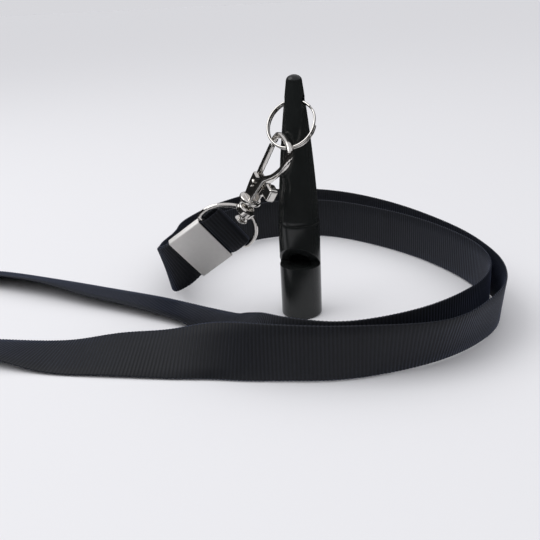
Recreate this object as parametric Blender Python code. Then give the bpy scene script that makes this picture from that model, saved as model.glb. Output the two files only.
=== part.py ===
"""Pea-less dog whistle with split ring, swivel trigger hook and ribbon lanyard.

Metres, Z up. The whistle stands on its mouth end at the origin, its window faces -Y,
and its ring hole runs along X. The lanyard lies on edge on the same floor.
"""
import math

import bmesh
import bpy
from mathutils import Matrix, Vector

MM = 0.001

# Whistle
BARREL_RADIUS = 6.5 * MM
BARREL_LENGTH = 31.2 * MM
BORE_RADIUS = 3.5 * MM
MOUTH_FILLET = 0.7 * MM
WINDOW_STEP = 17.2 * MM
WINDOW_RAMP_BASE = 0.6 * MM
WINDOW_RAMP_DEG = 45.0
CUTTER_MARGIN = 1.0 * MM
PLUG_CLEARANCE = 0.2 * MM
WINDWAY_HEIGHT = 0.95 * MM
TAIL_SEAM = 0.3 * MM
TAIL_LENGTH = 44.2 * MM
TAIL_ROOT_INSET = 0.15 * MM
TAIL_TIP_RADIUS = 2.35 * MM
TAIL_BULGE = 0.48 * MM
TAIL_CROWN = 1.5 * MM
SPIGOT_LENGTH = 6.0 * MM
SPIGOT_CLEARANCE = 0.2 * MM
RING_HOLE_RADIUS = 1.7 * MM
RING_HOLE_BELOW_TIP = 7.7 * MM

# Split ring
RING_RADIUS = 7.4 * MM
RING_WIRE = 0.65 * MM
RING_PITCH = 1.08 * MM
RING_TILT_DEG = 33.0
RING_YAW_DEG = -10.0
RING_SHIFT = -0.5 * MM
RING_SEAT = 0.15 * MM
RING_JOG_DEG = 48.0
RING_JOG_AT_DEG = 25.0
RING_POINTS = 24

# Hook
HOOK_LEAN_DEG = 28.5
HOOK_BEARING_DEG = -8.0
HOOK_TURN_DEG = -42.0
HOOK_THICKNESS = 3.4 * MM
HOOK_LOOP_THICKNESS = 2.0 * MM
HOOK_EDGE_ROUND = 0.7 * MM
HOOK_HANG_DEG = 12.0
COLLAR_RADIUS = 3.6 * MM
COLLAR_HEIGHT = 1.4 * MM
COLLAR_ROUND = 0.3 * MM
STEM_RADIUS = 1.0 * MM
STEM_HEAD_RADIUS = 2.1 * MM
STEM_HEAD_HEIGHT = 0.9 * MM
STEM_FREE_LENGTH = 6.8 * MM
SLOT_FLOOR = 1.9 * MM
LEVER_THICKNESS = 1.3 * MM
LEVER_SIDE_GAP = 0.2 * MM
LEVER_TIP_GAP = 0.5 * MM
LEVER_TIP_ROUND = 0.4 * MM
LEVER_HUB_DROP = 1.45 * MM
LEVER_HEEL_ROUND = 0.75 * MM
LEVER_TAIL_RISE = 1.2 * MM
LEVER_TAIL_REACH = 4.9 * MM
LEVER_GATE_ROOT = 3.3 * MM
TAB_REACH = 6.9 * MM
TAB_RISE = 0.6 * MM
TAB_WIDTH = 4.2 * MM
TAB_HEIGHT = 4.1 * MM
TAB_DEPTH = 3.0 * MM
TAB_ROUND = 0.6 * MM
TAB_LAP = 0.6 * MM
RIVET_RADIUS = 0.65 * MM
RIVET_CLEARANCE = 0.15 * MM
RIVET_HEAD_RADIUS = 1.2 * MM
RIVET_HEAD_HEIGHT = 0.35 * MM
RIVET_HEAD_GAP = 0.12 * MM
SPRING_RADIUS = 0.52 * MM
SPRING_WIRE = 0.22 * MM
SPRING_TURNS = 2.5
SPRING_END_GAP = 0.15 * MM
SPRING_FROM_PIVOT = 1.9 * MM

# Swivel D-ring
D_LEAN_DEG = 47.5
D_BEARING_DEG = -1.5
D_HALF_WIDTH = 9.8 * MM
D_HEIGHT = 11.2 * MM
D_WIRE = 1.7 * MM
BOSS_RADIUS = 3.1 * MM
BOSS_LENGTH = 3.4 * MM
BOSS_BORE_RADIUS = 1.85 * MM

# Ribbon and crimp
RIBBON_WIDTH = 16.0 * MM
RIBBON_THICKNESS = 0.6 * MM
LAYER_GAP = 0.24 * MM
JOIN_GAP = 0.4 * MM
LEAD_SPREAD = 1.3 * MM
CRIMP_LENGTH = 12.2 * MM
CRIMP_WALL = 0.45 * MM
CRIMP_SIDE_GAP = 0.3 * MM
CRIMP_SEAM = 0.4 * MM
CRIMP_BEND = 0.5 * MM
STRAND_END_GAP = 0.3 * MM
CRIMP_LEAN_DEG = 55.0
CRIMP_BEARING_DEG = 15.0
CRIMP_TURN_DEG = 18.0
BAR_FROM_CRIMP = 9.2 * MM
FOLD_LENGTH = 8.0 * MM
FOLD_HALF_GAP = 1.35 * MM

# Ribbon centre line, hand laid: x, y, z in millimetres and lean of the upper edge in
# degrees about the direction of travel
LEAD_ROUTE = [
    (-39.6, -6.4, 16.7, 17), (-42.1, -5.6, 15.2, 16), (-44.0, -3.7, 13.9, 15), (-45.9, -0.4, 12.7, 13),
    (-48.0, 4.0, 11.5, 11), (-51.0, 12.2, 10.1, 8), (-53.4, 25.6, 8.8, 4),
]
INNER_ROUTE = [
    (-46.9, 53.6, 8.4, 0), (-30.5, 71.4, 8.4, 0), (-8.9, 76.0, 8.4, 0), (13.2, 67.9, 8.4, 0),
    (34.9, 52.9, 8.4, 0), (52.0, 32.7, 8.4, 0), (58.1, 13.6, 8.4, 0), (54.4, -5.5, 8.4, 0),
    (41.7, -24.6, 8.4, 0), (23.4, -37.6, 8.4, 0), (7.8, -39.6, 8.2, -12), (-4.1, -35.6, 7.1, -34),
    (-16.8, -24.4, 4.0, -66), (-29.5, -13.0, 1.6, -94), (-51.7, -6.7, 2.2, -100), (-74.7, -2.3, 2.7, -104),
    (-98.1, 2.2, 3.5, -111), (-125.4, 5.5, 2.9, -106),
]
BIGHT_ROUTE = [
    (-143.0, 1.0, 1.4, -88), (-154.0, -12.0, 5.9, -50), (-155.0, -29.0, 8.5, -8), (-145.0, -42.0, 7.6, 30),
    (-128.0, -48.5, 4.3, 65), (-106.0, -48.8, 1.6, 92),
]
OUTER_ROUTE = [
    (-84.0, -47.4, 2.4, 100), (-61.6, -47.7, 2.1, 81), (-43.5, -46.1, 3.9, 67), (-28.2, -44.6, 4.9, 57),
    (-14.0, -44.0, 6.9, 36), (2.0, -44.6, 8.2, 12), (23.8, -40.5, 8.4, 0), (46.3, -28.6, 8.1, -18),
    (58.1, -12.1, 8.3, -12), (62.2, 4.4, 8.4, -5), (58.6, 24.3, 8.4, 0), (44.5, 49.2, 8.4, 0),
    (18.3, 76.4, 8.4, 0), (-9.9, 91.9, 8.4, 0), (-36.6, 90.1, 8.4, 0), (-52.5, 67.6, 8.4, 0),
    (-57.6, 42.0, 8.5, -2),
]
ROUTE_STEPS = 4

for old in list(bpy.data.objects):
    bpy.data.objects.remove(old, do_unlink=True)


def material(name, colour, metallic, roughness):
    mat = bpy.data.materials.new(name)
    mat.use_nodes = True
    shader = mat.node_tree.nodes["Principled BSDF"]
    shader.inputs["Base Color"].default_value = (*colour, 1.0)
    shader.inputs["Metallic"].default_value = metallic
    shader.inputs["Roughness"].default_value = roughness
    return mat


def frame_at(lean, bearing, turn, at):
    turned_axes = (Matrix.Rotation(math.radians(bearing), 4, "Z")
                   @ Matrix.Rotation(math.radians(lean), 4, "Y")
                   @ Matrix.Rotation(math.radians(turn), 4, "Z"))
    return Matrix.Translation(at) @ turned_axes


def solid(name, bm, mat, at=Vector((0, 0, 0)), frame=None):
    if frame is not None:
        bm.transform(frame)
    bm.transform(Matrix.Translation(-Vector(at)))
    bmesh.ops.recalc_face_normals(bm, faces=bm.faces)
    if bm.calc_volume(signed=True) < 0:
        bmesh.ops.reverse_faces(bm, faces=bm.faces)
    mesh = bpy.data.meshes.new(name)
    bm.to_mesh(mesh)
    bm.free()
    obj = bpy.data.objects.new(name, mesh)
    obj.location = at
    bpy.context.scene.collection.objects.link(obj)
    if mat is not None:
        mesh.materials.append(mat)
    return obj


def lathe(profile, steps):
    bm = bmesh.new()
    verts = [bm.verts.new((radius, 0, height)) for radius, height in profile]
    edges = [bm.edges.new((verts[k - 1], verts[k])) for k in range(len(verts))]
    bmesh.ops.spin(bm, geom=verts + edges, cent=(0, 0, 0), axis=(0, 0, 1), steps=steps,
                   angle=math.tau, use_merge=True)
    bmesh.ops.remove_doubles(bm, verts=bm.verts, dist=1e-6)
    loose = [edge for edge in bm.edges if not edge.link_faces]
    bmesh.ops.delete(bm, geom=loose, context="EDGES")
    return bm


def plate(outline, low, high):
    bm = bmesh.new()
    face = bm.faces.new([bm.verts.new((u, low, v)) for u, v in outline])
    grown = bmesh.ops.extrude_face_region(bm, geom=[face])
    moved = [item for item in grown["geom"] if isinstance(item, bmesh.types.BMVert)]
    bmesh.ops.translate(bm, verts=moved, vec=(0, high - low, 0))
    return bm


def block(low, high):
    outline = [(low[0], low[2]), (high[0], low[2]), (high[0], high[2]), (low[0], high[2])]
    return plate(outline, low[1], high[1])


def through_spline(points, steps):
    rows = [Vector(point) for point in points]
    padded = [2 * rows[0] - rows[1]] + rows + [2 * rows[-1] - rows[-2]]
    out = []
    for k in range(1, len(padded) - 2):
        a, b, c, d = padded[k - 1:k + 3]
        for step in range(steps):
            t = step / steps
            out.append(0.5 * (2 * b + (c - a) * t + (2 * a - 5 * b + 4 * c - d) * t * t
                              + (3 * b - a - 3 * c + d) * t ** 3))
    out.append(rows[-1])
    return out


def rounded_edges(obj, width, segments):
    bevel = obj.modifiers.new("edge_round", "BEVEL")
    bevel.width = width
    bevel.segments = segments
    bevel.limit_method = "ANGLE"
    bevel.angle_limit = math.radians(50)


def tool(obj):
    obj.hide_render = True
    obj.display_type = "WIRE"
    return obj


def boolean(obj, other, operation):
    change = obj.modifiers.new(operation.lower(), "BOOLEAN")
    change.operation = operation
    change.solver = "EXACT"
    change.object = tool(other)


def wire(name, points, radius, mat, at, cyclic=False):
    data = bpy.data.curves.new(name, "CURVE")
    data.dimensions = "3D"
    data.bevel_depth = radius
    data.bevel_resolution = 1
    data.use_fill_caps = True
    spline = data.splines.new("POLY")
    spline.points.add(len(points) - 1)
    for point, row in zip(spline.points, points):
        point.co = (*(row - at), 1.0)
    spline.use_cyclic_u = cyclic
    data.materials.append(mat)
    obj = bpy.data.objects.new(name, data)
    obj.location = at
    bpy.context.scene.collection.objects.link(obj)
    return obj


def least_gap(points, width, apart):
    return min((points[i] - points[j]).length
               for i in range(len(points)) for j in range(i + apart, len(points))) - width


BLACK = material("whistle_plastic", (0.012, 0.012, 0.013), 0.0, 0.18)
NICKEL = material("nickel_plate", (0.74, 0.72, 0.69), 1.0, 0.16)
SATIN = material("satin_nickel", (0.72, 0.71, 0.70), 1.0, 0.32)
STEEL = material("spring_steel", (0.55, 0.55, 0.56), 1.0, 0.3)
RIBBON = material("grosgrain", (0.012, 0.013, 0.017), 0.0, 0.65)

# Whistle: barrel with its bore, wind window and mouth rim
hole_height = BARREL_LENGTH + TAIL_SEAM + TAIL_LENGTH - RING_HOLE_BELOW_TIP
hole = Vector((0, 0, hole_height))
rim = [(BARREL_RADIUS - MOUTH_FILLET * (1 - math.sin(a)), MOUTH_FILLET * (1 - math.cos(a)))
       for a in (0, math.pi / 6, math.pi / 3, math.pi / 2)]
barrel_profile = rim + [(BARREL_RADIUS, BARREL_LENGTH), (BORE_RADIUS, BARREL_LENGTH), (BORE_RADIUS, 0)]
barrel = solid("whistle_barrel", lathe(barrel_profile, 48), BLACK, hole)
notch_top = WINDOW_STEP + WINDOW_RAMP_BASE
notch_reach = BARREL_RADIUS + CUTTER_MARGIN
notch_rise = notch_reach * math.tan(math.radians(WINDOW_RAMP_DEG))
notch = plate([(0, WINDOW_STEP), (notch_reach, WINDOW_STEP), (notch_reach, notch_top + notch_rise),
               (0, notch_top)], -notch_reach, notch_reach)
boolean(barrel, solid("window_cutter", notch, None, frame=Matrix.Rotation(-math.pi / 2, 4, "Z")),
        "DIFFERENCE")

# Fipple plug: block in the mouth end, flat on the window side for the windway
plug_radius = BORE_RADIUS - PLUG_CLEARANCE
plug = solid("fipple_plug", lathe([(0, 0), (plug_radius, 0), (plug_radius, WINDOW_STEP),
                                   (0, WINDOW_STEP)], 32), BLACK, hole)
flat_at = BORE_RADIUS - WINDWAY_HEIGHT
windway = block((-BARREL_RADIUS, -BARREL_RADIUS, -CUTTER_MARGIN),
                (BARREL_RADIUS, -flat_at, WINDOW_STEP + CUTTER_MARGIN))
boolean(plug, solid("windway_cutter", windway, None), "DIFFERENCE")

# Tail: tapered end with a spigot in the bore and the hole for the ring
tail_base = BARREL_LENGTH + TAIL_SEAM
taper_end = tail_base + TAIL_LENGTH - TAIL_CROWN
tail_root = BARREL_RADIUS - TAIL_ROOT_INSET
spigot_radius = BORE_RADIUS - SPIGOT_CLEARANCE
tail_profile = [(0, tail_base - SPIGOT_LENGTH), (spigot_radius, tail_base - SPIGOT_LENGTH),
                (spigot_radius, tail_base)]
for k in range(11):
    t = k / 10
    tail_profile.append((tail_root + (TAIL_TIP_RADIUS - tail_root) * t + TAIL_BULGE * 4 * t * (1 - t),
                         tail_base + (taper_end - tail_base) * t))
for deg in (30, 60, 90):
    a = math.radians(deg)
    tail_profile.append((TAIL_TIP_RADIUS - TAIL_CROWN * (1 - math.cos(a)),
                         taper_end + TAIL_CROWN * math.sin(a)))
tail_profile.append((0, taper_end + TAIL_CROWN))
tail = solid("whistle_tail", lathe(tail_profile, 48), BLACK, hole)
bore_tool = lathe([(0, -BARREL_RADIUS), (RING_HOLE_RADIUS, -BARREL_RADIUS),
                   (RING_HOLE_RADIUS, BARREL_RADIUS), (0, BARREL_RADIUS)], 24)
boolean(tail, solid("ring_hole_cutter", bore_tool, None,
                    frame=Matrix.Translation(hole) @ Matrix.Rotation(math.pi / 2, 4, "Y")), "DIFFERENCE")

# Split ring: two flat turns of one wire with a step between them
ring_axes = (Matrix.Rotation(math.radians(RING_YAW_DEG), 3, "Z")
             @ Matrix.Rotation(math.radians(-RING_TILT_DEG), 3, "X"))
ring_centre = hole + ring_axes @ Vector((-RING_SHIFT, 0, RING_SEAT - RING_RADIUS))


def ring_point(deg, across):
    a = math.radians(deg)
    return ring_centre + ring_axes @ Vector((RING_RADIUS * math.cos(a), across, RING_RADIUS * math.sin(a)))


ring_points = []
ring_turns = 720.0 - RING_JOG_DEG
for k in range(RING_POINTS * 2):
    deg = ring_turns * k / (RING_POINTS * 2 - 1)
    t = min(max((deg - (360.0 - RING_JOG_DEG)) / RING_JOG_DEG, 0.0), 1.0)
    across = RING_PITCH * (t * t * (3 - 2 * t) - 0.5)
    ring_points.append(ring_point(RING_JOG_AT_DEG + RING_JOG_DEG * 0.5 + deg, across))
hang = ring_point(-90.0 - HOOK_HANG_DEG, 0.0)
wire("split_ring", ring_points, RING_WIRE / 2, NICKEL, hang)
print("split ring least self gap mm", round(least_gap(ring_points, RING_WIRE, RING_POINTS // 2) / MM, 3))

# Hook frame: u across, v along the stem from the underside of the collar
hang_u = 3.7 * MM
hang_v = 21.8 * MM
hook_frame = frame_at(HOOK_LEAN_DEG, HOOK_BEARING_DEG, HOOK_TURN_DEG, hang)
hook_frame = hook_frame @ Matrix.Translation((-hang_u, 0, -hang_v))
pivot_u = -0.3 * MM
pivot_v = 6.4 * MM
gate_outer = -2.5 * MM
gate_inner = -0.8 * MM
nose_end = 20.4 * MM
nose_length = 1.6 * MM
shoulder = 9.6 * MM
body_foot = COLLAR_HEIGHT / 2
arm_taper = 4.0 * MM


def hook_points(points):
    return [(u * MM, v * MM) for u, v in points]


def hook_curve(points):
    return [(p.x, p.y) for p in through_spline([(u * MM, v * MM, 0) for u, v in points], 3)]


arm_outer = [(4.9, 10.2), (7.3, 13.0), (9.5, 16.0), (10.7, 19.2), (10.6, 22.0),
             (9.4, 24.2), (7.0, 25.1), (3.9, 25.3), (0.6, 25.0), (-1.6, 23.9)]
arm_inner = [(0.0, 22.9), (1.2, 23.5), (4.0, 23.8), (6.8, 23.5), (8.5, 22.4),
             (8.9, 20.4), (8.4, 18.0), (6.9, 15.3), (5.0, 13.0), (2.9, 11.2)]
outline = [(2.6 * MM, body_foot)] + hook_points([(3.0, 3.0), (3.8, 6.5)])
outline += hook_curve(arm_outer)
outline += [(gate_outer, nose_end + nose_length), (gate_outer, nose_end),
            (gate_inner, nose_end), (gate_inner, nose_end + nose_length)]
outline += hook_curve(arm_inner)
outline += [(1.7 * MM, shoulder + 0.6 * MM), (0.6 * MM, shoulder), (gate_outer, shoulder)]
outline += hook_points([(-3.0, 8.6), (-3.0, 5.5), (-2.7, 3.0)]) + [(-2.4 * MM, body_foot)]
stem_origin = hook_frame @ Vector((0, 0, 0))
hook_blank = plate(outline, -HOOK_THICKNESS / 2, HOOK_THICKNESS / 2)
for vert in hook_blank.verts:
    t = min(max((vert.co.z - shoulder) / arm_taper, 0.0), 1.0)
    vert.co.y *= 1.0 + t * (HOOK_LOOP_THICKNESS / HOOK_THICKNESS - 1.0)
hook = solid("hook_body", hook_blank, NICKEL, stem_origin, hook_frame)
rounded_edges(hook, HOOK_EDGE_ROUND, 2)
stem_low = -STEM_FREE_LENGTH - STEM_HEAD_HEIGHT
stem_profile = [(0, stem_low), (STEM_HEAD_RADIUS * 0.7, stem_low),
                (STEM_HEAD_RADIUS, stem_low + STEM_HEAD_HEIGHT * 0.5), (STEM_HEAD_RADIUS, -STEM_FREE_LENGTH),
                (STEM_RADIUS, -STEM_FREE_LENGTH), (STEM_RADIUS, 0),
                (COLLAR_RADIUS - COLLAR_ROUND, 0), (COLLAR_RADIUS, COLLAR_ROUND),
                (COLLAR_RADIUS, COLLAR_HEIGHT - COLLAR_ROUND), (COLLAR_RADIUS - COLLAR_ROUND, COLLAR_HEIGHT),
                (0, COLLAR_HEIGHT)]
boolean(hook, solid("stem_tool", lathe(stem_profile, 24), None, frame=hook_frame), "UNION")
slot_half = LEVER_THICKNESS / 2 + LEVER_SIDE_GAP
slot_left = gate_outer - CUTTER_MARGIN
slot_right = pivot_u + LEVER_TAIL_REACH + CUTTER_MARGIN
slot_step = pivot_v + LEVER_TAIL_RISE + CUTTER_MARGIN
slot_top = shoulder + CUTTER_MARGIN
gate_room = 1.5 * MM
slot = [(slot_left, SLOT_FLOOR), (slot_right, SLOT_FLOOR), (slot_right, slot_step),
        (gate_room, slot_step), (gate_room, slot_top), (slot_left, slot_top)]
boolean(hook, solid("slot_cutter", plate(slot, -slot_half, slot_half), None, frame=hook_frame), "DIFFERENCE")
rivet_frame = hook_frame @ Matrix.Translation((pivot_u, 0, pivot_v)) @ Matrix.Rotation(-math.pi / 2, 4, "X")
pin_hole = RIVET_RADIUS + RIVET_CLEARANCE
pin_tool = [(0, -HOOK_THICKNESS), (pin_hole, -HOOK_THICKNESS), (pin_hole, HOOK_THICKNESS),
            (0, HOOK_THICKNESS)]
boolean(hook, solid("rivet_hole_cutter", lathe(pin_tool, 20), None, frame=rivet_frame), "DIFFERENCE")

# Lever rivet: pin with a low head on each cheek
pivot = rivet_frame.to_translation()
head_in = HOOK_THICKNESS / 2 + RIVET_HEAD_GAP
head_rim = head_in + RIVET_HEAD_HEIGHT / 3
head_out = head_in + RIVET_HEAD_HEIGHT
rivet_half = [(RIVET_RADIUS, head_in), (RIVET_HEAD_RADIUS, head_in), (RIVET_HEAD_RADIUS, head_rim),
              (RIVET_HEAD_RADIUS * 0.75, head_out), (0, head_out)]
rivet_profile = [(radius, -height) for radius, height in reversed(rivet_half)] + rivet_half
solid("lever_rivet", lathe(rivet_profile, 20), NICKEL, stem_origin, rivet_frame)

# Trigger lever: gate, hub and thumb tab in one casting
gate_tip = nose_end - LEVER_TIP_GAP
heel = pivot_v - LEVER_HUB_DROP
tail_top = pivot_v + LEVER_TAIL_RISE
tail_end = pivot_u + LEVER_TAIL_REACH
tab_left = pivot_u + TAB_REACH
tab_right = tab_left + TAB_WIDTH
tab_low = pivot_v + TAB_RISE
tab_high = tab_low + TAB_HEIGHT
lever_outline = [
    (gate_outer, heel + LEVER_HEEL_ROUND), (gate_outer + LEVER_HEEL_ROUND, heel), (tail_end, heel),
    (tab_left + TAB_LAP, tab_low + TAB_LAP), (tab_left + TAB_LAP, tab_high - 2 * TAB_LAP),
    (tail_end, tail_top), (gate_inner + 2 * LEVER_HEEL_ROUND, tail_top),
    (gate_inner + LEVER_HEEL_ROUND, tail_top + LEVER_HEEL_ROUND), (gate_inner, pivot_v + LEVER_GATE_ROOT),
    (gate_inner, gate_tip - LEVER_TIP_ROUND), (gate_inner - LEVER_TIP_ROUND, gate_tip),
    (gate_outer + LEVER_TIP_ROUND, gate_tip), (gate_outer, gate_tip - LEVER_TIP_ROUND),
]
lever_blank = plate(lever_outline, -LEVER_THICKNESS / 2, LEVER_THICKNESS / 2)
lever = solid("trigger_lever", lever_blank, NICKEL, pivot, hook_frame)
tab_block = block((tab_left, -TAB_DEPTH / 2, tab_low), (tab_right, TAB_DEPTH / 2, tab_high))
tab = solid("tab_tool", tab_block, None, frame=hook_frame)
rounded_edges(tab, TAB_ROUND, 2)
boolean(lever, tab, "UNION")
boolean(lever, solid("lever_hole_cutter", lathe(pin_tool, 20), None, frame=rivet_frame), "DIFFERENCE")

# Lever spring: small coil between the slot floor and the lever
spring_u = pivot_u + SPRING_FROM_PIVOT
spring_low = SLOT_FLOOR + SPRING_WIRE / 2 + SPRING_END_GAP
spring_high = heel - SPRING_WIRE / 2 - SPRING_END_GAP
spring_points = []
for k in range(31):
    t = k / 30
    a = math.tau * SPRING_TURNS * t
    rise = spring_low + (spring_high - spring_low) * t
    coil = Vector((spring_u + SPRING_RADIUS * math.cos(a), SPRING_RADIUS * math.sin(a), rise))
    spring_points.append(hook_frame @ coil)
wire("lever_spring", spring_points, SPRING_WIRE / 2, STEEL, stem_origin)
print("lever spring least self gap mm", round(least_gap(spring_points, SPRING_WIRE, 7) / MM, 3))

# Swivel D-ring: bow and bar of one wire with a bored boss for the hook's stem
boss_centre = hook_frame @ Vector((0, 0, -STEM_FREE_LENGTH / 2))
crimp_axes = frame_at(CRIMP_LEAN_DEG, CRIMP_BEARING_DEG, CRIMP_TURN_DEG, Vector((0, 0, 0))).to_3x3()
d_up = frame_at(D_LEAN_DEG, D_BEARING_DEG, 0.0, Vector((0, 0, 0))).to_3x3().col[2]
bar_along = crimp_axes.col[1].cross(d_up).normalized()
d_axes = Matrix((bar_along, d_up.cross(bar_along), d_up)).transposed().to_4x4()
bar_centre = boss_centre - D_HEIGHT * d_up
d_frame = Matrix.Translation(bar_centre) @ d_axes
w, h = D_HALF_WIDTH, D_HEIGHT
half = [(0, 0), (w * 0.45, 0), (w * 0.88, 0), (w * 0.975, h * 0.05), (w, h * 0.17), (w * 0.96, h * 0.4),
        (w * 0.8, h * 0.63), (w * 0.55, h * 0.83), (w * 0.28, h * 0.96), (0, h)]
bow = through_spline([(u, 0, v) for u, v in half], 2)
bow = bow + [Vector((-p.x, 0, p.z)) for p in reversed(bow[1:-1])]
bow_curve = wire("swivel_d_ring", [d_frame @ p for p in bow], D_WIRE / 2, NICKEL, bar_centre, True)
bow_mesh = bpy.data.meshes.new_from_object(bow_curve.evaluated_get(bpy.context.evaluated_depsgraph_get()))
bpy.data.objects.remove(bow_curve, do_unlink=True)
d_ring = bpy.data.objects.new("swivel_d_ring", bow_mesh)
d_ring.location = bar_centre
bpy.context.scene.collection.objects.link(d_ring)
b_half = BOSS_LENGTH / 2
boss_profile = [(0, -b_half), (BOSS_RADIUS * 0.75, -b_half), (BOSS_RADIUS, -b_half * 0.5),
                (BOSS_RADIUS, b_half * 0.5), (BOSS_RADIUS * 0.75, b_half), (0, b_half)]
boss_frame = d_frame @ Matrix.Translation((0, 0, D_HEIGHT))
boolean(d_ring, solid("boss_tool", lathe(boss_profile, 24), None, frame=boss_frame), "UNION")
eye_tool = [(0, -BOSS_LENGTH), (BOSS_BORE_RADIUS, -BOSS_LENGTH), (BOSS_BORE_RADIUS, BOSS_LENGTH),
            (0, BOSS_LENGTH)]
boolean(d_ring, solid("boss_bore_cutter", lathe(eye_tool, 24), None, frame=boss_frame), "DIFFERENCE")

# Crimp: folded sheet sleeve with its seam at the back
crimp_centre = bar_centre - BAR_FROM_CRIMP * crimp_axes.col[2]
crimp_frame = Matrix.Translation(crimp_centre) @ crimp_axes.to_4x4()
inner_w = RIBBON_WIDTH / 2 + CRIMP_SIDE_GAP
inner_t = RIBBON_THICKNESS + LAYER_GAP * 1.5
outer_w = inner_w + CRIMP_WALL
outer_t = inner_t + CRIMP_WALL
lip = CRIMP_SEAM / 2
bend_w = outer_w - CRIMP_BEND
bend_t = outer_t - CRIMP_BEND
half_section = [(lip, inner_t), (lip, outer_t), (bend_w, outer_t), (outer_w, bend_t), (outer_w, -bend_t),
                (bend_w, -outer_t)]
half_inside = [(-inner_w, inner_t), (-inner_w, -inner_t), (inner_w, -inner_t), (inner_w, inner_t)]
section = half_section + [(-u, v) for u, v in reversed(half_section)] + half_inside
stand_up = Matrix.Rotation(-math.pi / 2, 4, "X")
crimp = plate(section, -CRIMP_LENGTH / 2, CRIMP_LENGTH / 2)
solid("ribbon_crimp", crimp, SATIN, bar_centre, crimp_frame @ stand_up)

# Ribbon fold: short loop from the crimp round the bar
leg = (RIBBON_THICKNESS + LAYER_GAP) / 2
edge = CRIMP_LENGTH / 2
far = edge + FOLD_LENGTH - RIBBON_THICKNESS / 2
wide = FOLD_HALF_GAP + RIBBON_THICKNESS / 2
bulge = wide - leg
fold_half = [(leg, JOIN_GAP), (leg, edge * 0.5), (leg, edge - FOLD_HALF_GAP * 0.15),
             (leg + bulge * 0.3, edge + FOLD_HALF_GAP * 0.37),
             (leg + bulge * 0.78, edge + FOLD_HALF_GAP * 0.81),
             (wide, edge + FOLD_HALF_GAP * 1.4), (wide, far - FOLD_HALF_GAP * 1.4),
             (wide * 0.82, far - FOLD_HALF_GAP * 0.67), (wide * 0.45, far - FOLD_HALF_GAP * 0.15), (0, far)]
fold_line = fold_half + [(-y, z) for y, z in reversed(fold_half[:-1])]
fold_rows = [Vector((y, z, 0)) for y, z in fold_line]


def offset_line(rows, amount):
    out = []
    for k, row in enumerate(rows):
        ahead = rows[min(k + 1, len(rows) - 1)] - rows[max(k - 1, 0)]
        out.append(row + Vector((-ahead.y, ahead.x, 0)).normalized() * amount)
    return out


fold_outer = offset_line(fold_rows, -RIBBON_THICKNESS / 2)
fold_inner = offset_line(fold_rows, RIBBON_THICKNESS / 2)
fold_outline = [(p.x, p.y) for p in fold_outer] + [(p.x, p.y) for p in reversed(fold_inner)]
quarter = Matrix.Rotation(math.pi / 2, 4, "Z")
fold = plate(fold_outline, -RIBBON_WIDTH / 2, RIBBON_WIDTH / 2)
solid("ribbon_fold", fold, RIBBON, bar_centre, crimp_frame @ quarter)


def band_frames(rows):
    out = []
    for k, (point, lean) in enumerate(rows):
        along = (rows[min(k + 1, len(rows) - 1)][0] - rows[max(k - 1, 0)][0]).normalized()
        up = Vector((0, 0, 1))
        up = (up - up.dot(along) * along).normalized()
        out.append((point, along, Matrix.Rotation(-math.radians(lean), 3, along) @ up))
    return out


def ribbon(name, frames):
    bm = bmesh.new()
    loops = []
    for point, along, up in frames:
        out = along.cross(up) * RIBBON_THICKNESS / 2
        up = up * RIBBON_WIDTH / 2
        loops.append([bm.verts.new(point + up + out), bm.verts.new(point + up - out),
                      bm.verts.new(point - up - out), bm.verts.new(point - up + out)])
    for a, b in zip(loops, loops[1:]):
        for k in range(4):
            bm.faces.new((a[k], a[k - 1], b[k - 1], b[k]))
    bm.faces.new(loops[0])
    bm.faces.new(loops[-1])
    return solid(name, bm, RIBBON, bar_centre)


def crimp_row(depth):
    return (crimp_frame @ Vector((0, 0, -depth)), crimp_lean)


def spline_rows(controls):
    points = through_spline([point for point, lean in controls], ROUTE_STEPS)
    leans = through_spline([(lean, 0, 0) for point, lean in controls], ROUTE_STEPS)
    return list(zip(points, [lean.x for lean in leans]))


def metres(route):
    return [(Vector(row[:3]) * MM, row[3]) for row in route]


# The strands lie straight in the crimp and leave it back to back with one shared frame
leave = -crimp_axes.col[2]
upright = (Vector((0, 0, 1)) - leave.z * leave).normalized()
crimp_up = -crimp_axes.col[0]
crimp_lean = math.degrees(math.atan2(crimp_up.dot(upright.cross(leave)), crimp_up.dot(upright)))
lead = [crimp_row(STRAND_END_GAP), crimp_row(edge * 0.6)]
mouth = [crimp_row(edge * 0.56), crimp_row(edge + STRAND_END_GAP)]
lead += spline_rows(mouth + metres(LEAD_ROUTE))[ROUTE_STEPS:]
lead_frames = band_frames(lead)
inner_lead = []
outer_lead = []
for k, (point, along, up) in enumerate(lead_frames):
    t = min(max(k - 2, 0) / (3 * ROUTE_STEPS), 1)
    aside = along.cross(up) * (leg + (LEAD_SPREAD - leg) * t)
    inner_lead.append((point + aside, along, up))
    outer_lead.append((point - aside, -along, up))

# Beyond the lead each strand takes its hand-laid route
lead_lean = LEAD_ROUTE[-1][3]
controls = [(inner_lead[-1 - ROUTE_STEPS][0], lead_lean), (inner_lead[-1][0], lead_lean)]
controls += metres(INNER_ROUTE + BIGHT_ROUTE + OUTER_ROUTE)
controls += [(outer_lead[-1][0], -lead_lean), (outer_lead[-1 - ROUTE_STEPS][0], -lead_lean)]
rows = spline_rows(controls)[ROUTE_STEPS:-ROUTE_STEPS]
frames = inner_lead[:-1] + band_frames(rows)[1:-1] + outer_lead[::-1][1:]
first = len(inner_lead) - 2 + len(INNER_ROUTE) * ROUTE_STEPS
last = first + (len(BIGHT_ROUTE) + 1) * ROUTE_STEPS
start = (frames[first][0] + frames[first][1] * JOIN_GAP, *frames[first][1:])
finish = (frames[last][0] - frames[last][1] * JOIN_GAP, *frames[last][1:])
ribbon("ribbon_inner_strand", frames[:first + 1])
ribbon("ribbon_bight", [start] + frames[first + 1:last] + [finish])
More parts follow.
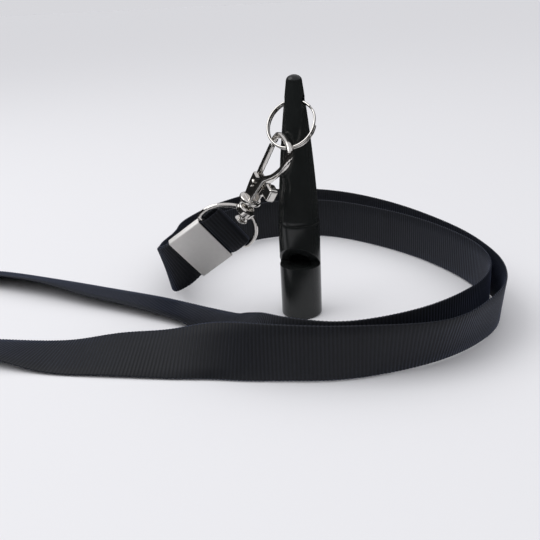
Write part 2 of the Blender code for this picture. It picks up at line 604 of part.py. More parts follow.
ribbon("ribbon_outer_strand", frames[last:])
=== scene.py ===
import math

import bmesh
import bpy
from mathutils import Matrix, Vector


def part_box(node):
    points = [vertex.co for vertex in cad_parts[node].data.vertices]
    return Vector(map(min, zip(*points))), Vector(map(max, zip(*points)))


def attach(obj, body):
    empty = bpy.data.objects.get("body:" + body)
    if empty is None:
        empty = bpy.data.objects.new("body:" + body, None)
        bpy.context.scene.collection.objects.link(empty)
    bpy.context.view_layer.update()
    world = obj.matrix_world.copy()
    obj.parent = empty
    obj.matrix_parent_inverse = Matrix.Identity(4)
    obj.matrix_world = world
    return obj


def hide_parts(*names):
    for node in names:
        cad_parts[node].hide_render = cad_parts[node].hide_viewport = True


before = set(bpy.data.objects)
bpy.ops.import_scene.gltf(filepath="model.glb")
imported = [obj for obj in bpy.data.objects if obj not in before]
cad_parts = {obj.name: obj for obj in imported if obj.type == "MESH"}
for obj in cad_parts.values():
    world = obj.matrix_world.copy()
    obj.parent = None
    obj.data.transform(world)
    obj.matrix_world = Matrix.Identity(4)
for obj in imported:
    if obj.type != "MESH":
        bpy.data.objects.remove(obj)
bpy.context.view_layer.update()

# Floor, light and camera: a pale sheet under an open sky and one broad lamp from the left. A dish of
# dark card, seen only in reflections, lies and stands round it, so that the plating and the gloss
# black show dark edges. The camera stands where the photograph was taken from.
MM = 0.001
FLOOR_COLOUR = (0.80, 0.80, 0.82, 1.0)
FLOOR_ROUGHNESS = 0.75
FLOOR_REACH = 8.0
CARD_COLOUR = (0.03, 0.03, 0.03, 1.0)
CARD_ROUGHNESS = 1.0
CARD_NEAR = 0.11
CARD_FAR = 1.2
CARD_FOOT = 0.5 * MM
CARD_HEAD = 0.62
CARD_SIDES = 64
BACKDROP_COLOUR = (0.68, 0.68, 0.71, 1.0)
SKY_BANDS = [(0.0, 0.03), (0.30, 0.06), (0.55, 0.85), (1.0, 1.25)]
SKY_BLUENESS = 1.02
LAMP_PLACE = Vector((-0.42, -0.18, 0.62))
LAMP_WIDTH = 0.55
LAMP_WATTS = 1.6
CAMERA_PLACE = Vector((56.74, -206.47, 97.78)) * MM
CAMERA_RIGHT = Vector((0.9556, 0.2906, -0.0490))
CAMERA_UP = Vector((-0.0611, 0.3580, 0.9317))
CAMERA_LENS = 47.66
CAMERA_SENSOR = 36.0
CAMERA_NEAR = 0.01

scene = bpy.context.scene
scene.view_settings.view_transform = "Standard"


def link(obj):
    scene.collection.objects.link(obj)
    return obj


def feed(tree, node, inputs):
    """Sets each input of a node to a value, or joins it to another node's output."""
    for name, value in inputs.items():
        if isinstance(value, bpy.types.NodeSocket):
            tree.links.new(value, node.inputs[name])
        else:
            node.inputs[name].default_value = value


def add_node(tree, kind, inputs=None, **settings):
    node = tree.nodes.new(kind)
    for name, value in settings.items():
        setattr(node, name, value)
    feed(tree, node, inputs or {})
    return node


def new_material(name):
    made = bpy.data.materials.new(name)
    made.use_nodes = True
    return made, made.node_tree, made.node_tree.nodes["Principled BSDF"]


def loop_faces(rows, sides):
    """Faces between closed loops of points, each loop after the one before."""
    return [(r * sides + k, r * sides + (k + 1) % sides,
             (r + 1) * sides + (k + 1) % sides, (r + 1) * sides + k)
            for r in range(rows - 1) for k in range(sides)]


def paper_sheet(name, verts, faces, colour, roughness):
    paper, tree, shader = new_material(name + "_paper")
    feed(tree, shader, {"Base Color": colour, "Roughness": roughness, "Specular IOR Level": 0.0})
    mesh = bpy.data.meshes.new(name)
    mesh.from_pydata(verts, [], faces)
    mesh.materials.append(paper)
    return link(bpy.data.objects.new(name, mesh))


camera = link(bpy.data.objects.new("camera", bpy.data.cameras.new("camera")))
camera.data.lens = CAMERA_LENS
camera.data.sensor_width = CAMERA_SENSOR
camera.data.clip_start = CAMERA_NEAR
camera_axes = Matrix((CAMERA_RIGHT, CAMERA_UP, CAMERA_RIGHT.cross(CAMERA_UP))).transposed()
camera.matrix_world = Matrix.Translation(CAMERA_PLACE) @ camera_axes.to_4x4()
scene.camera = camera

floor_corners = [(x * FLOOR_REACH, y * FLOOR_REACH, 0) for x, y in ((-1, -1), (1, -1), (1, 1), (-1, 1))]
floor = paper_sheet("floor", floor_corners, [(0, 1, 2, 3)], FLOOR_COLOUR, FLOOR_ROUGHNESS)

world = bpy.data.worlds.new("open_sky")
world.use_nodes = True
scene.world = world
sky = world.node_tree
sky_direction = add_node(sky, "ShaderNodeTexCoord")
sky_height = add_node(sky, "ShaderNodeSeparateXYZ", {"Vector": sky_direction.outputs["Generated"]})
sky_bands = add_node(sky, "ShaderNodeValToRGB", {"Fac": sky_height.outputs["Z"]})
stops = sky_bands.color_ramp.elements
stops.remove(stops[1])
for height, grey in SKY_BANDS:
    stop = stops.new(height) if height > 0 else stops[0]
    stop.color = (grey, grey, grey * SKY_BLUENESS, 1.0)
ray_kind = add_node(sky, "ShaderNodeLightPath")
seen_straight = add_node(sky, "ShaderNodeMath", {0: ray_kind.outputs["Is Camera Ray"],
                                                 1: ray_kind.outputs["Is Glossy Ray"]}, operation="ADD")
seen_at_all = add_node(sky, "ShaderNodeMath", {0: seen_straight.outputs["Value"],
                                               1: ray_kind.outputs["Is Transmission Ray"]},
                       operation="ADD", use_clamp=True)
seen_sky = add_node(sky, "ShaderNodeMix", {"Factor": seen_at_all.outputs["Value"],
                                           "A": sky_bands.outputs["Color"], "B": BACKDROP_COLOUR},
                    data_type="RGBA")
feed(sky, sky.nodes["Background"], {"Color": seen_sky.outputs["Result"]})

card_rows = [(CARD_NEAR, CARD_FOOT), (CARD_FAR, CARD_FOOT), (CARD_FAR, CARD_HEAD)]
card_turns = [math.tau * k / CARD_SIDES for k in range(CARD_SIDES)]
card_points = [(reach * math.cos(a), reach * math.sin(a), z)
               for reach, z in card_rows for a in card_turns]
dark_card = paper_sheet("dark_card", card_points, loop_faces(len(card_rows), CARD_SIDES),
                        CARD_COLOUR, CARD_ROUGHNESS)
dark_card.visible_camera = dark_card.visible_diffuse = dark_card.visible_shadow = False

lamp = link(bpy.data.objects.new("broad_lamp", bpy.data.lights.new("broad_lamp", "AREA")))
lamp.data.shape = "SQUARE"
lamp.data.size = LAMP_WIDTH
lamp.data.energy = LAMP_WATTS
lamp.location = LAMP_PLACE
lamp.rotation_euler = (-LAMP_PLACE).to_track_quat("-Z", "Y").to_euler()

# Lanyard: one black grosgrain ribbon, 16 mm wide and about a metre round, woven with ribs across.
# It leaves the crimp as two strands back to back, stands on edge round the whistle and closes in a
# bight to the left. Each row of a route is a place in metres and a lean in degrees.
RIBBON_WIDTH = 16.0 * MM
RIBBON_THICKNESS = 0.6 * MM
LAYER_GAP = 0.24 * MM
RIB_PITCH = 1.09 * MM
RIB_HEIGHT = 0.08 * MM
ROWS_PER_RIB = 6
SELVEDGE_LOOP = 0.05 * MM
SELVEDGE_SHARE = 0.955
FACE_POINTS = (-SELVEDGE_SHARE, -0.55, 0.0, 0.55, SELVEDGE_SHARE)
# Ribbon colours: the dark one is painted shade in the rib valleys, and the light one is painted light on
# the rib crests and a painted highlight along both edges, with a random tone from cloud noise between
# them.
RIBBON_SHADED = (0.0020, 0.0025, 0.0038, 1.0)
RIBBON_LIT = (0.0110, 0.0128, 0.0182, 1.0)
RIBBON_SHEEN = (0.46, 0.56, 0.92, 1.0)
YARN_CLOUD_SCALE = 90.0
THREAD_SCALE = 2400.0
THREAD_DEPTH = 0.05 * MM
CRIMP_LEAN_DEG = 55.0
CRIMP_BEARING_DEG = 15.0
CRIMP_TURN_DEG = 18.0
CRIMP_LENGTH = 12.2 * MM
RIBBON_END_DEPTH = 0.3 * MM
RIBBON_HELD_SHARE = 0.6
LEAD_CURVE_INSIDE = 2.7 * MM
LEAD_CURVE_OUTSIDE = 0.3 * MM
LEAD_SPREAD = 1.3 * MM
LEAD_HELD_ROWS = 2
LEAD_OPENING_ROWS = 3
ROUTE_STEPS = 4
CURVE_STEPS = 8
LEAD_ROUTE = [
    (-0.0396, -0.0064, 0.0167, 17), (-0.0421, -0.0056, 0.0152, 16), (-0.0440, -0.0037, 0.0139, 15),
    (-0.0459, -0.0004, 0.0127, 13), (-0.0480, 0.0040, 0.0115, 11), (-0.0510, 0.0122, 0.0101, 8),
    (-0.0534, 0.0256, 0.0088, 4),
]
LOOP_ROUTE = [
    (-0.0469, 0.0536, 0.0084, 0), (-0.0305, 0.0714, 0.0084, 0), (-0.0089, 0.0760, 0.0084, 0),
    (0.0132, 0.0679, 0.0084, 0), (0.0349, 0.0529, 0.0084, 0), (0.0520, 0.0327, 0.0084, 0),
    (0.0581, 0.0136, 0.0084, 0), (0.0544, -0.0055, 0.0084, 0), (0.0417, -0.0246, 0.0084, 0),
    (0.0234, -0.0376, 0.0084, 0), (0.0078, -0.0396, 0.0082, -12), (-0.0041, -0.0356, 0.0071, -34),
    (-0.0168, -0.0244, 0.0040, -66), (-0.0295, -0.0130, 0.0016, -94), (-0.0517, -0.0067, 0.0022, -100),
    (-0.0747, -0.0023, 0.0027, -104), (-0.0981, 0.0022, 0.0035, -111), (-0.1254, 0.0055, 0.0029, -106),
    (-0.1430, 0.0010, 0.0014, -88), (-0.1540, -0.0120, 0.0059, -50), (-0.1550, -0.0290, 0.0085, -8),
    (-0.1450, -0.0420, 0.0076, 30), (-0.1280, -0.0485, 0.0043, 65), (-0.1060, -0.0488, 0.0016, 92),
    (-0.0840, -0.0474, 0.0024, 100), (-0.0616, -0.0477, 0.0021, 81), (-0.0435, -0.0461, 0.0039, 67),
    (-0.0282, -0.0446, 0.0049, 57), (-0.0140, -0.0440, 0.0069, 36), (0.0020, -0.0446, 0.0082, 12),
    (0.0238, -0.0405, 0.0084, 0), (0.0463, -0.0286, 0.0081, -18), (0.0581, -0.0121, 0.0083, -12),
    (0.0622, 0.0044, 0.0084, -5), (0.0586, 0.0243, 0.0084, 0), (0.0445, 0.0492, 0.0084, 0),
    (0.0183, 0.0764, 0.0084, 0), (-0.0099, 0.0919, 0.0084, 0), (-0.0366, 0.0901, 0.0084, 0),
    (-0.0525, 0.0676, 0.0084, 0), (-0.0576, 0.0420, 0.0085, -2),
]


def through_points(points, steps):
    """A smooth line through the points, with so many steps from each to the next."""
    rows = [Vector(point) for point in points]
    padded = [2 * rows[0] - rows[1]] + rows + [2 * rows[-1] - rows[-2]]
    line = []
    for a, b, c, d in zip(padded, padded[1:], padded[2:], padded[3:]):
        for step in range(steps):
            t = step / steps
            line.append(0.5 * (2 * b + (c - a) * t + (2 * a - 5 * b + 4 * c - d) * t * t
                               + (3 * b - a - 3 * c + d) * t ** 3))
    return line + [rows[-1]]


def leaning_rows(route):
    places = through_points([row[:3] for row in route], ROUTE_STEPS)
    leans = through_points([(row[3], 0, 0) for row in route], ROUTE_STEPS)
    return [(place, lean.x) for place, lean in zip(places, leans)]


def edge_frames(rows):
    """Each row's place, the ribbon's direction there, and the direction across its width."""
    made = []
    for k, (place, lean) in enumerate(rows):
        along = (rows[min(k + 1, len(rows) - 1)][0] - rows[max(k - 1, 0)][0]).normalized()
        up = Vector((0, 0, 1))
        up = (up - up.dot(along) * along).normalized()
        made.append((place, along, Matrix.Rotation(-math.radians(lean), 3, along) @ up))
    return made


def even_rows(edges, spacing):
    """Rows a fixed distance apart along smooth curves through the edges' places and widths."""
    places = through_points([place for place, up in edges], CURVE_STEPS)
    ups = through_points([up for place, up in edges], CURVE_STEPS)
    run = [0.0]
    for a, b in zip(places, places[1:]):
        run.append(run[-1] + (b - a).length)
    count = int(run[-1] / spacing)
    made = []
    k = 0
    for row in range(count + 1):
        wanted = run[-1] * row / count
        while k < len(run) - 2 and run[k + 1] < wanted:
            k += 1
        t = (wanted - run[k]) / (run[k + 1] - run[k])
        along = (places[k + 1] - places[k]).normalized()
        up = ups[k].lerp(ups[k + 1], t)
        up = (up - up.dot(along) * along).normalized()
        made.append((places[k].lerp(places[k + 1], t), along, up, wanted))
    return made


def rib_tree():
    tree = bpy.data.node_groups.new("grosgrain_ribs", "GeometryNodeTree")
    for name, kind in (("Geometry", "NodeSocketGeometry"), ("Rib Pitch", "NodeSocketFloat"),
                       ("Rib Height", "NodeSocketFloat"), ("Selvedge Loop", "NodeSocketFloat"),
                       ("Ribbon", "NodeSocketMaterial")):
        tree.interface.new_socket(name, in_out="INPUT", socket_type=kind)
    tree.interface.new_socket("Geometry", in_out="OUTPUT", socket_type="NodeSocketGeometry")
    given = add_node(tree, "NodeGroupInput")

    def attribute(name, kind):
        node = add_node(tree, "GeometryNodeInputNamedAttribute", {"Name": name}, data_type=kind)
        return node.outputs["Attribute"]

    turns = add_node(tree, "ShaderNodeMath", {0: attribute("along", "FLOAT"),
                                              1: given.outputs["Rib Pitch"]}, operation="DIVIDE")
    angle = add_node(tree, "ShaderNodeMath", {0: turns.outputs["Value"], 1: math.tau},
                     operation="MULTIPLY")
    wave = add_node(tree, "ShaderNodeMath", {0: angle.outputs["Value"]}, operation="SINE")

    def waved(direction, height):
        amount = add_node(tree, "ShaderNodeMath", {0: wave.outputs["Value"], 1: given.outputs[height]},
                          operation="MULTIPLY")
        node = add_node(tree, "ShaderNodeVectorMath", {0: attribute(direction, "FLOAT_VECTOR"),
                                                       "Scale": amount.outputs["Value"]},
                        operation="SCALE")
        return node.outputs["Vector"]

    both = add_node(tree, "ShaderNodeVectorMath", {0: waved("face_out", "Rib Height"),
                                                   1: waved("edge_out", "Selvedge Loop")},
                    operation="ADD")
    raise_ribs = add_node(tree, "GeometryNodeSetPosition", {"Geometry": given.outputs["Geometry"],
                                                            "Offset": both.outputs["Vector"]})
    realize = add_node(tree, "GeometryNodeRealizeInstances",
                       {"Geometry": raise_ribs.outputs["Geometry"]})
    paint = add_node(tree, "GeometryNodeSetMaterial", {"Geometry": realize.outputs["Geometry"],
                                                       "Material": given.outputs["Ribbon"]})
    add_node(tree, "NodeGroupOutput", {"Geometry": paint.outputs["Geometry"]})
    return tree


def grosgrain_material():
    made, tree, shader = new_material("black_grosgrain")
    along = add_node(tree, "ShaderNodeAttribute", attribute_name="along")
    across = add_node(tree, "ShaderNodeAttribute", attribute_name="across")
    # Painted shade: the rib valleys are coloured darker and the crests lighter, following the raised
    # ribs, with a random tone from the cloud noise multiplied in.
    turns = add_node(tree, "ShaderNodeMath", {0: along.outputs["Fac"], 1: math.tau / RIB_PITCH},
                     operation="MULTIPLY")
    wave = add_node(tree, "ShaderNodeMath", {0: turns.outputs["Value"]}, operation="SINE")
    ribs = add_node(tree, "ShaderNodeMapRange", {"Value": wave.outputs["Value"], "From Min": -1.0})
    place = add_node(tree, "ShaderNodeTexCoord")
    cloud = add_node(tree, "ShaderNodeTexNoise", {"Vector": place.outputs["Object"],
                                                  "Scale": YARN_CLOUD_SCALE, "Detail": 3.0})
    tone = add_node(tree, "ShaderNodeMath", {0: ribs.outputs["Result"], 1: cloud.outputs["Fac"]},
                    operation="MULTIPLY")
    rib_shaded_yarn = add_node(tree, "ShaderNodeMix", {"Factor": tone.outputs["Value"], "A": RIBBON_SHADED,
                                            "B": RIBBON_LIT}, data_type="RGBA")
    # Painted highlight: both edges of the ribbon are turned towards the light colour, standing in for
    # light caught along the edges.
    distance = add_node(tree, "ShaderNodeMath", {0: across.outputs["Fac"]}, operation="ABSOLUTE")
    edge_highlight = add_node(tree, "ShaderNodeMapRange", {"Value": distance.outputs["Value"],
                                                     "From Min": SELVEDGE_SHARE})
    finish = add_node(tree, "ShaderNodeMix", {"Factor": edge_highlight.outputs["Result"],
                                              "A": rib_shaded_yarn.outputs["Result"], "B": RIBBON_LIT},
                      data_type="RGBA")
    thread = add_node(tree, "ShaderNodeTexNoise", {"Vector": place.outputs["Object"],
                                                   "Scale": THREAD_SCALE, "Detail": 2.0})
    bump = add_node(tree, "ShaderNodeBump", {"Strength": 0.25, "Distance": THREAD_DEPTH,
                                             "Height": thread.outputs["Fac"]})
    feed(tree, shader, {"Base Color": finish.outputs["Result"], "Roughness": 0.55,
                        "Specular IOR Level": 0.30, "Sheen Weight": 0.24, "Sheen Roughness": 0.4,
                        "Sheen Tint": RIBBON_SHEEN, "Normal": bump.outputs["Normal"]})
    return made


def tube_faces(rows, sides):
    """Faces of a tube through closed loops of points, with both ends shut."""
    ends = [tuple(reversed(range(sides))), tuple(range((rows - 1) * sides, rows * sides))]
    return loop_faces(rows, sides) + ends


def plain_mesh(obj):
    """The object with its modifiers worked into its mesh, facing outwards and shaded smooth."""
    bpy.context.view_layer.update()
    seen = obj.evaluated_get(bpy.context.evaluated_depsgraph_get())
    made = bpy.data.meshes.new_from_object(seen)
    obj.modifiers.clear()
    old = obj.data
    obj.data = made
    bpy.data.meshes.remove(old)
    bm = bmesh.new()
    bm.from_mesh(made)
    if bm.calc_volume(signed=True) < 0:
        bmesh.ops.reverse_faces(bm, faces=bm.faces)
    bm.to_mesh(made)
    bm.free()
    made.shade_smooth()
    return obj


GROSGRAIN = grosgrain_material()
RIBS = rib_tree()


def woven_band(name, edges):
    """A ribbon along the edges with raised ribs across both faces and looped edges, in the grosgrain
    material with its painted rib shade and painted edge highlight.
    """
    half = RIBBON_WIDTH / 2 - SELVEDGE_LOOP
    flat = RIBBON_THICKNESS / 2 - RIB_HEIGHT
    section = [(-1.0, 0.0)] + [(across, 1.0) for across in FACE_POINTS]
    section += [(1.0, 0.0)] + [(across, -1.0) for across in reversed(FACE_POINTS)]
    rows = even_rows(edges, RIB_PITCH / ROWS_PER_RIB)
    verts, along_at, across_at, face_out, edge_out = [], [], [], [], []
    for place, along, up, run in rows:
        out = along.cross(up)
        for across, side in section:
            verts.append(place + up * across * half + out * side * flat)
            along_at.append(run)
            across_at.append(across)
            face_out.extend(out * side)
            edge_out.extend(up * across if side == 0 else (0.0, 0.0, 0.0))
    mesh = bpy.data.meshes.new(name)
    mesh.from_pydata(verts, [], tube_faces(len(rows), len(section)))
    for label, kind, key, values in (("along", "FLOAT", "value", along_at),
                                     ("across", "FLOAT", "value", across_at),
                                     ("face_out", "FLOAT_VECTOR", "vector", face_out),
                                     ("edge_out", "FLOAT_VECTOR", "vector", edge_out)):
        mesh.attributes.new(label, kind, "POINT").data.foreach_set(key, values)
    obj = link(bpy.data.objects.new(name, mesh))
    weave = obj.modifiers.new("ribs", "NODES")
    weave.node_group = RIBS
    wanted = {"Rib Pitch": RIB_PITCH, "Rib Height": RIB_HEIGHT, "Selvedge Loop": SELVEDGE_LOOP,
              "Ribbon": GROSGRAIN}
    for socket in RIBS.interface.items_tree:
        if socket.in_out == "INPUT" and socket.name in wanted:
            weave[socket.identifier] = wanted[socket.name]
    return plain_mesh(obj)


low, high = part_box("ribbon_crimp")
crimp_axes = (Matrix.Rotation(math.radians(CRIMP_BEARING_DEG), 4, "Z")
              @ Matrix.Rotation(math.radians(CRIMP_LEAN_DEG), 4, "Y")
              @ Matrix.Rotation(math.radians(CRIMP_TURN_DEG), 4, "Z"))
crimp_frame = Matrix.Translation((low + high) / 2) @ crimp_axes
crimp_across = crimp_axes.to_3x3().col[0]
leave = -crimp_axes.to_3x3().col[2]
upright = (Vector((0, 0, 1)) - leave.z * leave).normalized()
crimp_up = -crimp_across
crimp_lean = math.degrees(math.atan2(crimp_up.dot(upright.cross(leave)), crimp_up.dot(upright)))
leg = (RIBBON_THICKNESS + LAYER_GAP) / 2
mouth = CRIMP_LENGTH / 2


def in_crimp(depth):
    return (*(crimp_frame @ Vector((0, 0, -depth))), crimp_lean)


held = [in_crimp(RIBBON_END_DEPTH), in_crimp(mouth * RIBBON_HELD_SHARE)]
leaving = [in_crimp(mouth - LEAD_CURVE_INSIDE), in_crimp(mouth + LEAD_CURVE_OUTSIDE)]
lead = [(Vector(row[:3]), row[3]) for row in held] + leaning_rows(leaving + LEAD_ROUTE)[ROUTE_STEPS:]
inner_lead, outer_lead = [], []
for k, (place, along, up) in enumerate(edge_frames(lead)):
    opened = min(max(k - LEAD_HELD_ROWS, 0) / (LEAD_OPENING_ROWS * ROUTE_STEPS), 1)
    aside = along.cross(up) * (leg + (LEAD_SPREAD - leg) * opened)
    inner_lead.append((place + aside, along, up))
    outer_lead.append((place - aside, -along, up))
lead_lean = LEAD_ROUTE[-1][3]
route = [(*inner_lead[-1 - ROUTE_STEPS][0], lead_lean), (*inner_lead[-1][0], lead_lean)] + LOOP_ROUTE
route += [(*outer_lead[-1][0], -lead_lean), (*outer_lead[-1 - ROUTE_STEPS][0], -lead_lean)]
loop_rows = leaning_rows(route)[ROUTE_STEPS:-ROUTE_STEPS]
ribbon_frames = inner_lead[:-1] + edge_frames(loop_rows)[1:-1] + outer_lead[::-1][1:]
lanyard = woven_band("ribbon_lanyard", [(place, up) for place, along, up in ribbon_frames])
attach(lanyard, "lanyard")
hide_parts("ribbon_inner_strand", "ribbon_bight", "ribbon_outer_strand")

# Ribbon fold: the short loop of the same ribbon that leaves the crimp, goes round the D-ring's bar
# and comes back into the crimp. It is woven like the lanyard. One half of its line is given, as
# distances from its middle and depths from the crimp's centre.
FOLD_LENGTH = 8.0 * MM
FOLD_HALF_GAP = 1.35 * MM
fold_far = mouth + FOLD_LENGTH - RIBBON_THICKNESS / 2
fold_wide = FOLD_HALF_GAP + RIBBON_THICKNESS / 2
fold_half = [(leg, 0.4 * MM), (leg, mouth * 0.5), (leg, mouth - 0.2 * MM),
             (leg * 1.7, mouth + 0.6 * MM), (fold_wide * 0.82, mouth + 1.4 * MM),
             (fold_wide, mouth + 2.8 * MM), (fold_wide, fold_far - 3.0 * MM),
             (fold_wide * 0.88, fold_far - 1.4 * MM), (fold_wide * 0.5, fold_far - 0.3 * MM),
             (0, fold_far)]
fold_line = fold_half + [(-side, depth) for side, depth in reversed(fold_half[:-1])]
fold_edges = [(crimp_frame @ Vector((0, side, depth)), crimp_across) for side, depth in fold_line]
fold = woven_band("ribbon_fold_woven", fold_edges)
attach(fold, "lanyard")
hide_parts("ribbon_fold")

# Crimp: a strip of satin nickel-plated sheet folded flat round the ribbon's ends. Both ends are open,
# the sides are bent round and the seam is at the back.
CRIMP_WALL = 0.45 * MM
CRIMP_SIDE_GAP = 0.3 * MM
CRIMP_SEAM = 0.3 * MM
CRIMP_BEND = 0.65 * MM
CRIMP_BEND_STEPS = 5
CRIMP_CROWN = 0.08 * MM
CRIMP_CROWN_STEPS = 12
CRIMP_EDGE = 0.1 * MM
CRIMP_CREASE_DEG = 50.0
CRIMP_LAYERS = 2
SATIN_LIGHT = (0.95, 0.93, 0.905, 1.0)
SATIN_DARK = (0.88, 0.86, 0.835, 1.0)
WEAR_CLOUD_SCALE = 140.0
BEVEL_FROM_DEG = 40.0


def wear_group():
    group = bpy.data.node_groups.new("fine_wear", "ShaderNodeTree")
    for name in ("Grain Scale", "Roughness", "Spread"):
        group.interface.new_socket(name, in_out="INPUT", socket_type="NodeSocketFloat")
    for name in ("Roughness", "Height"):
        group.interface.new_socket(name, in_out="OUTPUT", socket_type="NodeSocketFloat")
    given = add_node(group, "NodeGroupInput")
    place = add_node(group, "ShaderNodeTexCoord")
    cloud = add_node(group, "ShaderNodeTexNoise", {"Vector": place.outputs["Object"],
                                                   "Scale": WEAR_CLOUD_SCALE, "Detail": 4.0})
    grain = add_node(group, "ShaderNodeTexNoise", {"Vector": place.outputs["Object"],
                                                   "Scale": given.outputs["Grain Scale"], "Detail": 3.0})
    centred = add_node(group, "ShaderNodeMath", {0: cloud.outputs["Fac"], 1: 0.5}, operation="SUBTRACT")
    varied = add_node(group, "ShaderNodeMath", {0: centred.outputs["Value"], 1: given.outputs["Spread"],
                                                2: given.outputs["Roughness"]}, operation="MULTIPLY_ADD")
    add_node(group, "NodeGroupOutput", {"Roughness": varied.outputs["Value"],
                                        "Height": grain.outputs["Fac"]})
    return group


WEAR = wear_group()


def worn_material(name, colours, metallic, roughness, spread, grain, depth, specular=0.5):
    """A material of two close colours in fine grain, with worn roughness and a slight relief."""
    made, tree, shader = new_material(name)
    wear = add_node(tree, "ShaderNodeGroup", {"Grain Scale": grain, "Roughness": roughness,
                                              "Spread": spread}, node_tree=WEAR)
    tone = add_node(tree, "ShaderNodeMix", {"Factor": wear.outputs["Height"], "A": colours[0],
                                            "B": colours[1]}, data_type="RGBA")
    bump = add_node(tree, "ShaderNodeBump", {"Strength": 0.3, "Distance": depth,
                                             "Height": wear.outputs["Height"]})
    feed(tree, shader, {"Base Color": tone.outputs["Result"], "Metallic": metallic,
                        "Specular IOR Level": specular, "Roughness": wear.outputs["Roughness"],
                        "Normal": bump.outputs["Normal"]})
    return made


def rounded(obj, width, segments):
    bevel = obj.modifiers.new("edge_round", "BEVEL")
    bevel.width = width
    bevel.segments = segments
    bevel.limit_method = "ANGLE"
    bevel.angle_limit = math.radians(BEVEL_FROM_DEG)


SATIN = worn_material("satin_nickel", (SATIN_LIGHT, SATIN_DARK), metallic=0.6, roughness=0.62,
                      spread=0.14, grain=900.0, depth=0.01 * MM)


def crimp_outline(half_width, half_depth, bend):
    """The folded strip's section, from one side of the seam round to the other."""
    def corner(across, depth, start):
        angles = [math.radians(start - 90 * k / CRIMP_BEND_STEPS) for k in range(CRIMP_BEND_STEPS + 1)]
        return [(across + bend * math.cos(a), depth + bend * math.sin(a)) for a in angles]

    flat, deep = half_width - bend, half_depth - bend
    line = [(CRIMP_SEAM / 2, half_depth)] + corner(flat, deep, 90) + corner(flat, -deep, 0)
    for k in range(1, CRIMP_CROWN_STEPS):
        share = 1 - 2 * k / CRIMP_CROWN_STEPS
        line.append((flat * share, -half_depth - CRIMP_CROWN * (1 - share * share)))
    return line + corner(-flat, -deep, -90) + corner(-flat, deep, -180) + [(-CRIMP_SEAM / 2, half_depth)]


inside_width = RIBBON_WIDTH / 2 + CRIMP_SIDE_GAP
inside_depth = (CRIMP_LAYERS * RIBBON_THICKNESS + (CRIMP_LAYERS + 1) * LAYER_GAP) / 2
outer_line = crimp_outline(inside_width + CRIMP_WALL, inside_depth + CRIMP_WALL, CRIMP_BEND)
inner_line = crimp_outline(inside_width, inside_depth, CRIMP_BEND - CRIMP_WALL)
sheet_line = outer_line + inner_line[::-1]
count = len(sheet_line)
bm = bmesh.new()
low_end = [bm.verts.new((x, y, -mouth)) for x, y in sheet_line]
high_end = [bm.verts.new((x, y, mouth)) for x, y in sheet_line]
for k in range(count):
    bm.faces.new((low_end[k], low_end[(k + 1) % count], high_end[(k + 1) % count], high_end[k]))
for k in range(len(outer_line) - 1):
    for end in (low_end, high_end):
        bm.faces.new((end[k], end[k + 1], end[count - 2 - k], end[count - 1 - k]))
bmesh.ops.recalc_face_normals(bm, faces=bm.faces)
bm.transform(crimp_frame)
crimp_mesh = bpy.data.meshes.new("ribbon_crimp_sheet")
bm.to_mesh(crimp_mesh)
bm.free()
crimp_mesh.materials.append(SATIN)
crimp = link(bpy.data.objects.new("ribbon_crimp_sheet", crimp_mesh))
rounded(crimp, CRIMP_EDGE, segments=2)
plain_mesh(crimp)
crimp.data.set_sharp_from_angle(angle=math.radians(CRIMP_CREASE_DEG))
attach(crimp, "lanyard")
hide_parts("ribbon_crimp")

# Swivel D-ring: one bent nickel-plated wire with a bored boss cast round its crown for the hook's
# stem. Its bar lies in the ribbon fold. It is the CAD solid, merged, rounded off and polished.
NICKEL_LIGHT = (0.80, 0.775, 0.74, 1.0)
NICKEL_DARK = (0.66, 0.635, 0.60, 1.0)
CAST_MERGE = 0.001 * MM
CAST_VOXEL = 0.14 * MM
CAST_POLISH = 0.5
NICKEL = worn_material("bright_nickel", (NICKEL_LIGHT, NICKEL_DARK), metallic=1.0, roughness=0.055,
                       spread=0.06, grain=700.0, depth=0.003 * MM)


def cast_copy(node, body, rounds):
    """A rounded casting made from a CAD solid, in its place."""
    bm = bmesh.new()
    bm.from_mesh(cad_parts[node].data)
    bmesh.ops.remove_doubles(bm, verts=bm.verts, dist=CAST_MERGE)
    mesh = bpy.data.meshes.new(node + "_cast")
    bm.to_mesh(mesh)
    bm.free()
    mesh.materials.clear()
    mesh.materials.append(NICKEL)
    obj = link(bpy.data.objects.new(node + "_cast", mesh))
    even = obj.modifiers.new("even", "REMESH")
    even.mode = "VOXEL"
    even.voxel_size = CAST_VOXEL
    polish = obj.modifiers.new("polish", "SMOOTH")
    polish.factor = CAST_POLISH
    polish.iterations = rounds
    plain_mesh(obj)
    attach(obj, body)
    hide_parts(node)


cast_copy("swivel_d_ring", "d_ring", rounds=6)

# Hook body: a die-cast trigger hook whose stem turns in the D-ring's boss under a round collar.
# The body is slotted for the lever and its arm bows over to the nose that the gate closes on.
cast_copy("hook_body", "hook", rounds=5)

# Trigger lever with its rivet and spring: the gate, hub and thumb tab are one casting that turns on
# a headed pin. A small coil of drawn wire in the slot presses the gate shut.
STEEL_LIGHT = (0.62, 0.62, 0.63, 1.0)
STEEL_DARK = (0.48, 0.48, 0.49, 1.0)
STEEL = worn_material("drawn_steel", (STEEL_LIGHT, STEEL_DARK), metallic=1.0, roughness=0.28,
                      spread=0.12, grain=1200.0, depth=0.004 * MM)


def refinish(node, finish):
    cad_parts[node].data.materials.clear()
    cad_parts[node].data.materials.append(finish)


cast_copy("trigger_lever", "trigger", rounds=5)
refinish("lever_rivet", NICKEL)
refinish("lever_spring", STEEL)

